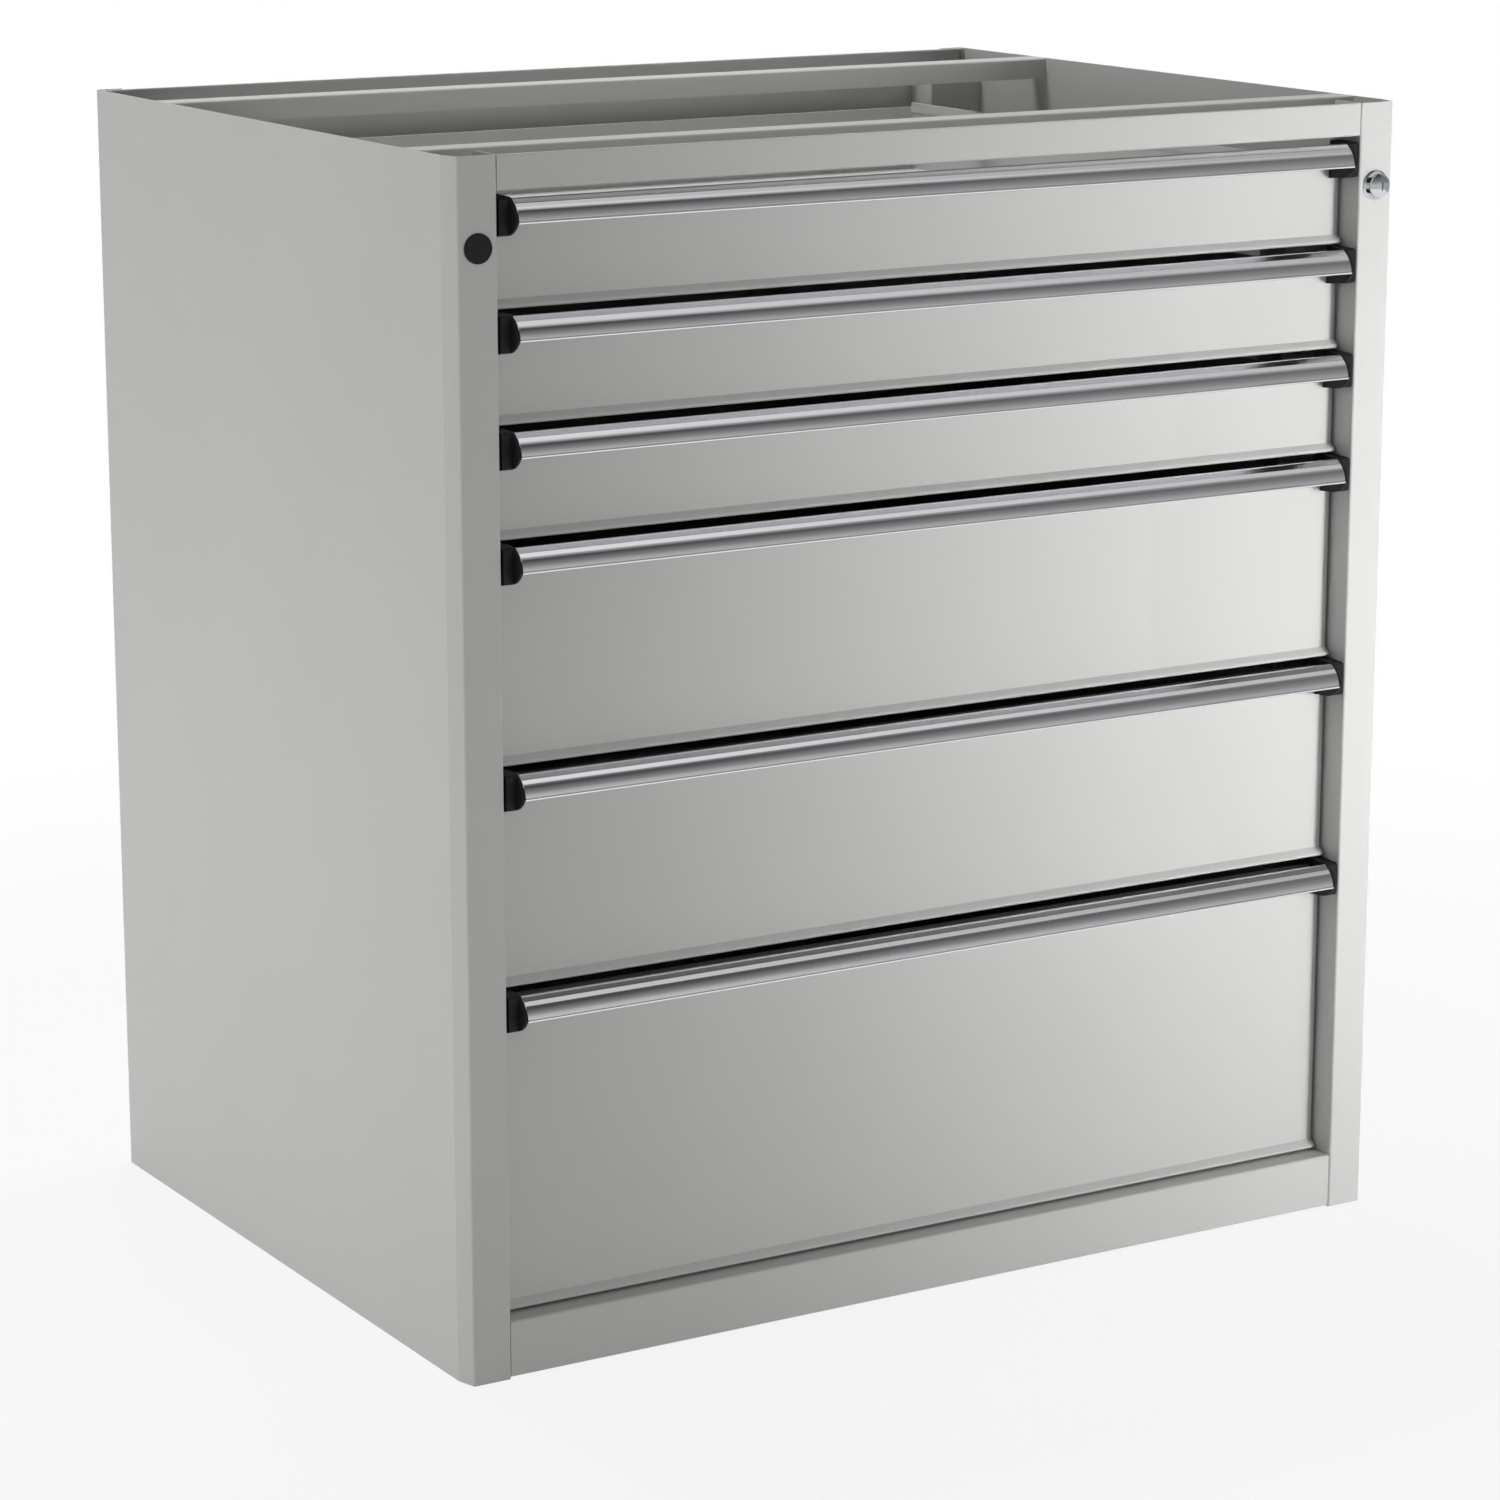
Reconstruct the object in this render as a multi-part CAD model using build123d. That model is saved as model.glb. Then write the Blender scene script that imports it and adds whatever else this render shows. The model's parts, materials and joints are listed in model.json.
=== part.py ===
from build123d import *
import math
import os

# Six-drawer workshop cabinet of folded sheet steel, in millimetres.
# The origin is on the floor under the middle of the bounding box: +X right, +Y back, +Z up.
# A "depth" is counted backwards from the front faces of the stiles, and a minus depth stands proud of them.

# Overall sizes
CABINET_WIDTH = 1005.0
CABINET_DEPTH = 745.0
SHALLOW_FRONT = 100.0
MIDDLE_FRONT = 200.0
DEEP_FRONT = 300.0

# Folded housing sheet
SHEET = 1.5
BEND = 0.8
SEAM = 0.4
FACET_DEPTH = 20.6
FACET_INSET = 5.5
STILE_WIDTH = 37.5
STILE_RETURN = 40.0
REAR_RETURN = 25.0
FOOT_FLANGE = 20.0

# Plinth, base and back
PLINTH_TOP = 53.5
PLINTH_CLEARANCE = 1.0
PLINTH_RECESS = 1.2
PLINTH_BOTTOM_FLANGE = 20.0
BASE_SETBACK = 4.0
BASE_LAP = 14.0
BACK_DROP = 0.5
BACK_TOP_FLANGE = 9.0

# Top rails
RAIL_FACE_HEIGHT = 31.0
RAIL_RECESS = 0.6
RAIL_CHANNEL = 66.6
RAIL_FLANGE = 27.0
RAIL_HEM = 3.0
RAIL_HEM_HEIGHT = 12.0
REAR_RAIL_SETBACK = 138.0
REAR_RAIL_FLANGE = 26.0
REAR_RAIL_WEB = 21.0

# Gaps between the fronts
LIP_GAP = 2.5
TOP_GAP = 3.0
FRONT_SIDE_GAP = 3.0

# Drawer fronts
FRONT_SHEET = 1.25
FRONT_BEND = 1.2
FRONT_RECESS = 27.8
FRONT_TOP_DROP = 12.0
FRONT_TOP_FLANGE = 14.0
FRONT_SIDE_FLANGE = 10.0
LIP_STEP = 6.3
LIP_HEIGHT = 3.2
LIP_SLOPE_HEIGHT = 4.8
LIP_BEND = 0.4
LIP_FLANGE = 13.0

# Drawer trays
TRAY_SHEET = 1.2
TRAY_BEND = 1.5
TRAY_LIFT = 9.0
TRAY_DROP = 19.5
TRAY_HEM_HEIGHT = 10.0
TRAY_REAR_GAP = 25.0
TRAY_REAR_DROP = 4.5
TRAY_TAB_WIDTH = 20.0
TRAY_TAB_DROP = 0.6

# Aluminium grips and their end caps
GRIP_PROUD = 12.0
GRIP_WALL = 2.0
GRIP_TOP_DROP = 2.8
GRIP_TOP_DEPTH = 2.5
GRIP_CREASE_PROUD = 3.5
GRIP_CREASE_DROP = 7.6
GRIP_KNEE_PROUD = 10.3
GRIP_KNEE_DROP = 15.4
GRIP_DROP = 23.4
GRIP_BEND = 1.5
GRIP_ROUND = 18.0
BEAD_RADIUS = 1.6
BEAD_STEP = 0.8
GRIP_FOOT_TOP = 15.0
GRIP_FOOT_DROP = 27.0
GRIP_END_CHAMFER = 0.6
CAP_SIDE_GAP = 2.0
CAP_WIDTH = 12.5
CAP_PLATE = 2.5
CAP_DROP = 38.0
CAP_CURVE_MIDDLE = (-3.8, 32.1)
CAP_CURVE_END = (8.4, 36.3)
CAP_SETBACK = 0.3
CAP_TOP_REAR_DROP = 2.0
CAP_TOP_FRONT_DROP = 3.4
CAP_KNEE_ROUND = 24.0
CAP_SHOULDER_ROUND = 4.0

# Telescopic slides
SLIDE_SHEET = 1.5
SLIDE_BEND = 0.8
SLIDE_WIDTH = 35.0
SLIDE_HEIGHT = 40.0
SLIDE_LIFT = 31.0
SLIDE_PLAY = 0.4
SLIDE_WEB_GAP = 3.0
SLIDE_TIP_GAP = 2.0
SLIDE_MOUTH = 8.0
SLIDE_SETBACK = 58.0
SLIDE_STOP_GAP = 2.0

# Slotted uprights
UPRIGHT_WIDTH = 40.0
FRONT_UPRIGHT_SETBACK = 112.0
UPRIGHT_ABOVE_SLIDE = 8.0
REAR_UPRIGHT_JUT = 22.5
SLOT_PITCH = 100.0
SLOT_WIDTH = 6.0
SLOT_HEIGHT = 16.0

# Central lock
LOCK_BELOW_TOP = 78.0
LOCK_HOLE_RADIUS = 9.7
HOLE_PLAY = 0.2
BEZEL_RADIUS = 14.5
BEZEL_THICKNESS = 2.2
NECK_BASE_RADIUS = 13.0
NECK_TIP_RADIUS = 11.6
NECK_PROUD = 6.0
SLEEVE_LENGTH = 26.0
CORE_RADIUS = 6.0
RUNNING_PLAY = 0.05
DOME_RADIUS = 11.2
DOME_GAP = 0.3
DOME_RIM = 1.9
DOME_PROUD = 11.8
KEY_SLOT_WIDTH = 1.8
KEY_SLOT_HEIGHT = 8.5
KEY_SLOT_DEPTH = 2.5
NUT_ACROSS_FLATS = 26.0
NUT_THICKNESS = 5.0
PINION_TEETH = 15
GEAR_MODULE = 0.8
TOOTH_TIP = 0.9 * GEAR_MODULE
TOOTH_ROOT = 1.25 * GEAR_MODULE
TOOTH_ROOT_HALF = 0.82 * GEAR_MODULE
TOOTH_TIP_HALF = 0.22 * GEAR_MODULE
PINION_FACE_MARGIN = 0.5
BAR_THICKNESS = 4.0
BAR_SETBACK = 6.0
BAR_SIDE_GAP = 1.5
BAR_FLOOR_GAP = 0.3
BAR_ABOVE_LOCK = 18.0
RACK_BELOW_LOCK = 6
RACK_ABOVE_LOCK = 3
FINGER_REACH = 11.5
FINGER_HEIGHT = 5.0
CATCH_SHEET = 2.0
CATCH_HEIGHT = 5.0
CATCH_LENGTH = 22.0
CATCH_SIDE_GAP = 4.5
CATCH_BELOW_RIM = 1.0
CATCH_PLAY = 2.0
FINGER_PLAY = 3.0
GUIDE_HEIGHT = 15.0
GUIDE_LIFT = 25.0
GUIDE_WALL = 3.0
GUIDE_PLAY = 0.3

# Blanking plug
PLUG_RADIUS = 13.1
PLUG_PROUD = 1.8
PLUG_ROUND = 0.8
PLUG_SLEEVE = 10.0
PLUG_WALL = 1.6

# Countersunk screws in the back
SCREW_HEAD_RADIUS = 3.6
SCREW_RADIUS = 2.0
SCREW_LENGTH = 10.0
SCREW_PLAY = 0.1
SCREWS_PER_SIDE = 5
SCREW_END_MARGIN = 60.0

# Places worked out from the sizes above
FRONT_HEIGHTS = (SHALLOW_FRONT,) * 3 + (MIDDLE_FRONT,) * 2 + (DEEP_FRONT,)
DRAWERS = range(1, len(FRONT_HEIGHTS) + 1)
HALF_WIDTH = CABINET_WIDTH / 2
INNER_HALF = HALF_WIDTH - SHEET
FRONT_Y = (GRIP_PROUD - CABINET_DEPTH) / 2
OPENING_HALF = HALF_WIDTH - FACET_INSET - STILE_WIDTH
DRAWER_FLOOR = PLINTH_TOP + LIP_GAP
DRAWER_ROOF = DRAWER_FLOOR + sum(FRONT_HEIGHTS)
RAIL_BOTTOM = DRAWER_ROOF + TOP_GAP
CABINET_HEIGHT = RAIL_BOTTOM + RAIL_FACE_HEIGHT
BASE_TOP = PLINTH_TOP - SHEET
BASE_FRONT = STILE_RETURN + BASE_SETBACK
BACK_FACE = CABINET_DEPTH - SHEET
BACK_INNER = BACK_FACE - SHEET
FRONT_HALF = OPENING_HALF - FRONT_SIDE_GAP
TRAY_HALF = OPENING_HALF - SLIDE_WIDTH
TRAY_FRONT = FRONT_RECESS + FRONT_SHEET
TRAY_REAR = CABINET_DEPTH - TRAY_REAR_GAP
REAR_UPRIGHT_FRONT = BACK_INNER - UPRIGHT_WIDTH
SLIDE_END = REAR_UPRIGHT_FRONT - SLIDE_STOP_GAP
CAP_OUTER = OPENING_HALF - CAP_SIDE_GAP
GRIP_HALF = CAP_OUTER - CAP_WIDTH
STILE_MIDDLE = OPENING_HALF + STILE_WIDTH / 2
LOCK_Z = CABINET_HEIGHT - LOCK_BELOW_TOP
PITCH_RADIUS = PINION_TEETH * GEAR_MODULE / 2
BAR_FRONT = STILE_RETURN + BAR_SETBACK
BAR_REAR = BAR_FRONT + BAR_THICKNESS
BAR_INNER = OPENING_HALF + SHEET + BAR_SIDE_GAP
BAR_OUTER = STILE_MIDDLE - PITCH_RADIUS - TOOTH_ROOT
CATCH_FRONT = BAR_REAR + CATCH_PLAY
SCREW_X = INNER_HALF - REAR_RETURN / 2


def drawer_floor(number):
    """Height of the bottom reference line of a drawer, counted from 1 at the top."""
    return DRAWER_ROOF - sum(FRONT_HEIGHTS[:number])


def drawer_roof(number):
    """Height of the top reference line of a drawer, counted from 1 at the top."""
    return DRAWER_ROOF - sum(FRONT_HEIGHTS[: number - 1])


def tray_rim(number):
    """Height of the top edge of a tray's sides."""
    return drawer_roof(number) - TRAY_DROP


def rounded_face(corners):
    """Face inside a closed outline of (x, y, corner radius) points."""
    points = [(x, y) for x, y, _ in corners]
    radii = [radius for _, _, radius in corners]
    return make_face(FilletPolyline(*points, radius=radii, close=True))


def folded_face(path, sheet, bends):
    """Section of a folded sheet, with its thickness on the left of the path and an inside radius for each bend."""
    points = [Vector(*point) for point in path]
    steps = [(b - a).normalized() for a, b in zip(points, points[1:])]
    lefts = [Vector(-step.Y, step.X) for step in steps]
    start = points[0] + lefts[0] * sheet
    near = [(points[0].X, points[0].Y, 0)]
    far = [(start.X, start.Y, 0)]
    for index, bend in enumerate(bends):
        before, after = lefts[index], lefts[index + 1]
        mitre = (before + after) * (sheet / (1 + before.dot(after)))
        turns_left = steps[index].cross(steps[index + 1]).Z > 0
        corner = points[index + 1]
        near.append((corner.X, corner.Y, bend + sheet if turns_left else bend))
        far.append((corner.X + mitre.X, corner.Y + mitre.Y, bend if turns_left else bend + sheet))
    end = points[-1] + lefts[-1] * sheet
    near.append((points[-1].X, points[-1].Y, 0))
    far.append((end.X, end.Y, 0))
    return rounded_face(near + far[::-1])


def along_x(section, x_from, x_to):
    """Solid of a (depth, height) section that runs across the cabinet."""
    return extrude(Plane.YZ.offset(x_from) * (Pos(FRONT_Y, 0) * section), amount=x_to - x_from)


def along_y(section, depth_from, depth_to):
    """Solid of an (x, height) section that runs from front to back."""
    return extrude(Plane.XZ.offset(-FRONT_Y - depth_to) * section, amount=depth_to - depth_from)


def along_z(section, z_from, z_to):
    """Solid of an (x, depth) section that stands upright."""
    return extrude(Plane.XY.offset(z_from) * (Pos(0, FRONT_Y) * section), amount=z_to - z_from)


def block(x_limits, depth_limits, z_limits):
    """Box between two limits in each direction."""
    spans = (x_limits, [FRONT_Y + depth for depth in depth_limits], z_limits)
    middle = [(low + high) / 2 for low, high in spans]
    return Pos(*middle) * Box(*[high - low for low, high in spans])


def turned(section, x, z):
    """Solid of a (depth, radius) section turned about a front-to-back axis."""
    return Pos(x, FRONT_Y, z) * (Rot(0, 0, 90) * revolve(section, Axis.X))


def bored(x, z, radius, depth_from, depth_to):
    """Round hole along a front-to-back axis."""
    return along_y(Pos(x, z) * Circle(radius), depth_from, depth_to)


def both_sides(right):
    """A right-hand solid and its mirror image on the left."""
    return [mirror(right, about=Plane.YZ), right]


def save(node, *solids):
    """Writes one node's solids to its own file."""
    shapes = [solid for shape in solids for solid in shape.solids()]
    export_step(shapes[0] if len(shapes) == 1 else Compound(shapes), f"parts/{node}.step")


# Housing


def screw_heights():
    """Heights of the back panel's screws."""
    low = SCREW_END_MARGIN
    step = (CABINET_HEIGHT - BACK_DROP - 2 * SCREW_END_MARGIN) / (SCREWS_PER_SIDE - 1)
    return [low + step * index for index in range(SCREWS_PER_SIDE)]


def countersink(play):
    """Turned section of a countersunk head, from the rear face through the rear return."""
    rear = CABINET_DEPTH
    head, neck = SCREW_HEAD_RADIUS + play, SCREW_RADIUS + play
    return make_face(Polyline((rear, 0), (rear, head), (BACK_FACE, neck), (BACK_FACE, 0), close=True))


def right_panel():
    """Right side panel without the hole in its stile."""
    path = [
        (OPENING_HALF, STILE_RETURN),
        (OPENING_HALF, 0),
        (OPENING_HALF + STILE_WIDTH, 0),
        (HALF_WIDTH, FACET_DEPTH),
        (HALF_WIDTH, CABINET_DEPTH),
        (INNER_HALF - REAR_RETURN, CABINET_DEPTH),
    ]
    panel = along_z(folded_face(path, SHEET, [BEND] * 4), 0, CABINET_HEIGHT)
    foot_depths = (STILE_RETURN, BACK_INNER - SEAM)
    panel += block((INNER_HALF - FOOT_FLANGE, HALF_WIDTH - SHEET / 2), foot_depths, (0, SHEET))
    for z in screw_heights():
        panel -= turned(countersink(SCREW_PLAY), SCREW_X, z)
    return panel


def back_panel():
    """Back sheet, folded forwards along its top edge."""
    top = CABINET_HEIGHT - BACK_DROP
    path = [(BACK_FACE, 0), (BACK_FACE, top), (BACK_FACE - BACK_TOP_FLANGE, top)]
    half = INNER_HALF - BEND - SEAM
    panel = along_x(folded_face(path, SHEET, [BEND]), -half, half)
    for z in screw_heights():
        for x in (-SCREW_X, SCREW_X):
            panel -= bored(x, z, SCREW_RADIUS + SCREW_PLAY, BACK_INNER, BACK_FACE)
    return panel


def back_screws():
    """Countersunk screws that hold the back panel."""
    shank = Pos((BACK_FACE + CABINET_DEPTH - SCREW_LENGTH) / 2, SCREW_RADIUS / 2) * Rectangle(
        BACK_FACE - CABINET_DEPTH + SCREW_LENGTH, SCREW_RADIUS
    )
    section = countersink(0) + shank
    return [turned(section, x, z) for z in screw_heights() for x in (-SCREW_X, SCREW_X)]


def base_panel():
    """Floor sheet with a leg along the back panel."""
    path = [
        (BACK_INNER, SHEET),
        (BACK_INNER, BASE_TOP),
        (BASE_FRONT, BASE_TOP),
    ]
    return along_x(folded_face(path, SHEET, [BEND]), -INNER_HALF, INNER_HALF)


def plinth():
    """Kick plate between the stiles."""
    path = [
        (BASE_FRONT + BASE_LAP, PLINTH_TOP),
        (PLINTH_RECESS, PLINTH_TOP),
        (PLINTH_RECESS, PLINTH_CLEARANCE),
        (PLINTH_RECESS + PLINTH_BOTTOM_FLANGE, PLINTH_CLEARANCE),
    ]
    half = OPENING_HALF - SEAM
    return along_x(folded_face(path, SHEET, [BEND, BEND]), -half, half)


def front_top_rail():
    """U-channel behind the stiles with its hemmed face between them."""
    flange_under = CABINET_HEIGHT - SHEET
    path = [
        (RAIL_RECESS, CABINET_HEIGHT - RAIL_HEM_HEIGHT / 2),
        (RAIL_RECESS, RAIL_BOTTOM),
        (RAIL_CHANNEL, RAIL_BOTTOM),
        (RAIL_CHANNEL, flange_under),
        (RAIL_CHANNEL + RAIL_FLANGE, flange_under),
    ]
    hem_rear = RAIL_RECESS + RAIL_HEM
    hem_bottom = CABINET_HEIGHT - RAIL_HEM_HEIGHT
    hem_round = 0.45 * RAIL_HEM
    hem = rounded_face(
        [
            (RAIL_RECESS, hem_bottom, 0),
            (hem_rear, hem_bottom, 0),
            (hem_rear, CABINET_HEIGHT, hem_round),
            (RAIL_RECESS, CABINET_HEIGHT, hem_round),
        ]
    )
    rail = along_x(folded_face(path, SHEET, [BEND] * 3) + hem, -INNER_HALF, INNER_HALF)
    notch = block(
        (OPENING_HALF - SEAM, HALF_WIDTH),
        (-SHEET, STILE_RETURN + SEAM),
        (RAIL_BOTTOM - SHEET, CABINET_HEIGHT + SHEET),
    )
    for side in both_sides(notch):
        rail -= side
    return rail


def rear_top_rail():
    """Angle across the open top."""
    front = CABINET_DEPTH - REAR_RAIL_SETBACK - REAR_RAIL_FLANGE
    path = [
        (front + REAR_RAIL_FLANGE, CABINET_HEIGHT),
        (front, CABINET_HEIGHT),
        (front, CABINET_HEIGHT - REAR_RAIL_WEB),
    ]
    return along_x(folded_face(path, SHEET, [BEND]), -INNER_HALF, INNER_HALF)


def slide_upright(depth, web, top):
    """Slotted channel on the right side panel, from its front edge backwards, with its web at a given x."""
    path = [
        (INNER_HALF, depth + UPRIGHT_WIDTH),
        (web, depth + UPRIGHT_WIDTH),
        (web, depth),
        (INNER_HALF, depth),
    ]
    upright = along_z(folded_face(path, SHEET, [BEND, BEND]), BASE_TOP, top)
    middle = depth + UPRIGHT_WIDTH / 2
    slot_depths = (middle - SLOT_WIDTH / 2, middle + SLOT_WIDTH / 2)
    slot_x = (web - SHEET, web + 2 * SHEET)
    z = BASE_TOP + SLOT_PITCH / 2
    while z < top - SLOT_PITCH / 4:
        upright -= block(slot_x, slot_depths, (z - SLOT_HEIGHT / 2, z + SLOT_HEIGHT / 2))
        z += SLOT_PITCH
    return upright


def slide_uprights():
    """Two uprights behind the stiles that carry the slides, and two in the rear corners that stop them."""
    front_top = drawer_floor(1) + SLIDE_LIFT + SLIDE_HEIGHT / 2 + UPRIGHT_ABOVE_SLIDE
    front = slide_upright(FRONT_UPRIGHT_SETBACK, OPENING_HALF, front_top)
    rear_top = CABINET_HEIGHT - REAR_RAIL_WEB
    rear = slide_upright(REAR_UPRIGHT_FRONT, OPENING_HALF - REAR_UPRIGHT_JUT, rear_top)
    for z in screw_heights():
        rear -= bored(SCREW_X, z, SCREW_RADIUS + SCREW_PLAY, BACK_INNER - SHEET, BACK_INNER)
    return both_sides(front) + both_sides(rear)


# Telescopic slides, drawn on the right with the tray at the left


def outer_rail(number):
    """Fixed member, on the uprights."""
    z = drawer_floor(number) + SLIDE_LIFT
    half = SLIDE_HEIGHT / 2
    mouth = TRAY_HALF + SLIDE_MOUTH
    path = [(mouth, z - half), (OPENING_HALF, z - half), (OPENING_HALF, z + half), (mouth, z + half)]
    return along_y(folded_face(path, SLIDE_SHEET, [SLIDE_BEND] * 2), SLIDE_SETBACK, REAR_UPRIGHT_FRONT)


def mid_rail(number):
    """Intermediate member, between the other two."""
    z = drawer_floor(number) + SLIDE_LIFT
    half = SLIDE_HEIGHT / 2 - SLIDE_SHEET - SLIDE_PLAY
    mouth = TRAY_HALF + SLIDE_SHEET + SLIDE_TIP_GAP
    web = OPENING_HALF - SLIDE_SHEET - SLIDE_WEB_GAP
    path = [(mouth, z - half), (web, z - half), (web, z + half), (mouth, z + half)]
    return along_y(folded_face(path, SLIDE_SHEET, [SLIDE_BEND] * 2), SLIDE_SETBACK, SLIDE_END)


def inner_rail(number):
    """Moving member, on the tray's side."""
    z = drawer_floor(number) + SLIDE_LIFT
    half = SLIDE_HEIGHT / 2 - 2 * (SLIDE_SHEET + SLIDE_PLAY)
    tip = OPENING_HALF - 2 * SLIDE_SHEET - SLIDE_WEB_GAP - SLIDE_TIP_GAP
    path = [(tip, z + half), (TRAY_HALF, z + half), (TRAY_HALF, z - half), (tip, z - half)]
    return along_y(folded_face(path, SLIDE_SHEET, [SLIDE_BEND] * 2), SLIDE_SETBACK, SLIDE_END)


# Drawers


def drawer_front(number):
    """Folded front with a stepped lip, a top flange and two side flanges."""
    floor, top = drawer_floor(number), drawer_roof(number) - FRONT_TOP_DROP
    lip_depth = FRONT_RECESS - LIP_STEP
    slope_top = floor + LIP_HEIGHT + LIP_SLOPE_HEIGHT
    path = [
        (FRONT_RECESS + FRONT_TOP_FLANGE, top),
        (FRONT_RECESS, top),
        (FRONT_RECESS, slope_top),
        (lip_depth, floor + LIP_HEIGHT),
        (lip_depth, floor),
        (lip_depth + LIP_FLANGE, floor),
    ]
    bends = [FRONT_BEND, FRONT_BEND, LIP_BEND, LIP_BEND]
    front = along_x(folded_face(path, FRONT_SHEET, bends), -FRONT_HALF, FRONT_HALF)
    side = block(
        (FRONT_HALF - FRONT_SHEET, FRONT_HALF),
        (FRONT_RECESS + FRONT_SHEET / 2, FRONT_RECESS + FRONT_SIDE_FLANGE),
        (slope_top, top - FRONT_SHEET / 2),
    )
    for flange in both_sides(side):
        front += flange
    return front


def drawer_tray(number):
    """Folded pan with hemmed walls, a lower rear wall and corner tabs that lap over it."""
    floor, rim = drawer_floor(number) + TRAY_LIFT, tray_rim(number)
    outer_round = TRAY_BEND + TRAY_SHEET

    def hollow(inset, bottom, top, radius):
        plan = (-TRAY_HALF + inset, TRAY_HALF - inset), (TRAY_FRONT + inset, TRAY_REAR - inset)
        pan = block(*plan, (bottom, top))
        rounded = pan.edges().filter_by(Axis.Z) + pan.faces().sort_by(Axis.Z)[0].edges()
        return fillet(rounded, radius)

    hem_bottom = rim - TRAY_HEM_HEIGHT
    tray = hollow(0, floor, rim, outer_round)
    tray -= hollow(TRAY_SHEET, floor + TRAY_SHEET, hem_bottom, TRAY_BEND)
    mouth_half = TRAY_HALF - 2 * TRAY_SHEET
    mouth_depths = (TRAY_FRONT + 2 * TRAY_SHEET, TRAY_REAR - 2 * TRAY_SHEET)
    mouth = block((-mouth_half, mouth_half), mouth_depths, (hem_bottom - TRAY_SHEET, rim + TRAY_SHEET))
    tray -= fillet(mouth.edges().filter_by(Axis.Z), TRAY_BEND)

    rear_rim = rim - TRAY_REAR_DROP
    rear_depths = (TRAY_REAR - outer_round, TRAY_REAR + TRAY_SHEET)
    tray -= block((-TRAY_HALF, TRAY_HALF), rear_depths, (rear_rim, rim + TRAY_SHEET))
    inner_half, tab_rear = TRAY_HALF - TRAY_SHEET, TRAY_REAR - TRAY_SHEET / 2
    tab = block(
        (inner_half - TRAY_TAB_WIDTH, inner_half),
        (tab_rear - 3 * TRAY_SHEET / 2, tab_rear),
        (floor + TRAY_SHEET / 2, rear_rim - TRAY_TAB_DROP),
    )
    for side in both_sides(tab):
        tray += side
    return tray


def grip_path(roof):
    """Outer line of the grip, from its foot on the front, over the top and down to its bead."""
    return [
        (FRONT_RECESS, roof - GRIP_FOOT_DROP),
        (FRONT_RECESS, roof - GRIP_FOOT_TOP),
        (GRIP_TOP_DEPTH, roof - GRIP_TOP_DROP),
        (-GRIP_CREASE_PROUD, roof - GRIP_CREASE_DROP),
        (-GRIP_KNEE_PROUD, roof - GRIP_KNEE_DROP),
        (BEAD_STEP - GRIP_PROUD, roof - GRIP_DROP),
    ]


def handle(number):
    """Extruded grip: foot, sloping web, convex face and a bead along its bottom edge."""
    roof = drawer_roof(number)
    section = folded_face(grip_path(roof), GRIP_WALL, [GRIP_BEND, GRIP_BEND, 0, GRIP_ROUND])
    bead = Pos(BEAD_RADIUS - GRIP_PROUD, roof - GRIP_DROP) * Circle(BEAD_RADIUS)
    grip = along_x(section + bead, -GRIP_HALF, GRIP_HALF)
    rims = [edge for end in grip.faces().filter_by(Axis.X) for edge in end.edges()]
    return chamfer(rims, GRIP_END_CHAMFER)


def end_cap(number):
    """Right end cap: a plate with the grip's outline over a curved underside, and a body level with the stiles."""
    roof = drawer_roof(number)
    top, crease, knee = grip_path(roof)[2:5]
    bead = (-GRIP_PROUD, roof - GRIP_DROP)
    middle, curve_end = [(depth, roof - drop) for depth, drop in (CAP_CURVE_MIDDLE, CAP_CURVE_END)]
    rear_top = (FRONT_RECESS, roof - CAP_TOP_REAR_DROP)
    rear_middle = (FRONT_RECESS, roof - GRIP_DROP)
    under = ThreePointArc(bead, middle, curve_end) + Polyline(
        curve_end, (FRONT_RECESS, roof - CAP_DROP), rear_middle, bead
    )
    section = make_face(under.edges()) + rounded_face(
        [
            (*rear_middle, 0),
            (*rear_top, 0),
            (*top, CAP_SHOULDER_ROUND),
            (*crease, CAP_SHOULDER_ROUND),
            (*knee, CAP_KNEE_ROUND),
            (*bead, 0),
        ]
    )
    shoulder = rounded_face(
        [
            (*rear_middle, 0),
            (*rear_top, 0),
            (CAP_SETBACK, roof - CAP_TOP_FRONT_DROP, CAP_SHOULDER_ROUND),
            (CAP_SETBACK, roof - GRIP_DROP, 0),
        ]
    )
    plate_outer = GRIP_HALF + CAP_PLATE
    body = along_x(section + shoulder, plate_outer, CAP_OUTER)
    body -= block((plate_outer, CAP_OUTER), (-2 * GRIP_PROUD, CAP_SETBACK), (roof - CAP_DROP, roof))
    return along_x(section, GRIP_HALF, plate_outer) + body


def catch(number):
    """Angle on the tray's right side, which the lock bar's finger stops."""
    top = tray_rim(number) - CATCH_BELOW_RIM
    path = [
        (TRAY_HALF, CATCH_FRONT + CATCH_LENGTH),
        (TRAY_HALF, CATCH_FRONT),
        (OPENING_HALF - CATCH_SIDE_GAP, CATCH_FRONT),
    ]
    return along_z(folded_face(path, CATCH_SHEET, [BEND]), top - CATCH_HEIGHT, top)


# Central lock


def lock_barrel():
    """Bezel, conical neck and sleeve, bored for the core."""
    bore = CORE_RADIUS + RUNNING_PLAY
    sleeve = LOCK_HOLE_RADIUS - HOLE_PLAY
    section = make_face(
        Polyline(
            (-NECK_PROUD, bore),
            (-NECK_PROUD, NECK_TIP_RADIUS),
            (-BEZEL_THICKNESS, NECK_BASE_RADIUS),
            (-BEZEL_THICKNESS / 2, BEZEL_RADIUS),
            (0, BEZEL_RADIUS),
            (0, sleeve),
            (SLEEVE_LENGTH, sleeve),
            (SLEEVE_LENGTH, bore),
            close=True,
        )
    )
    return turned(section, STILE_MIDDLE, LOCK_Z)


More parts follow.
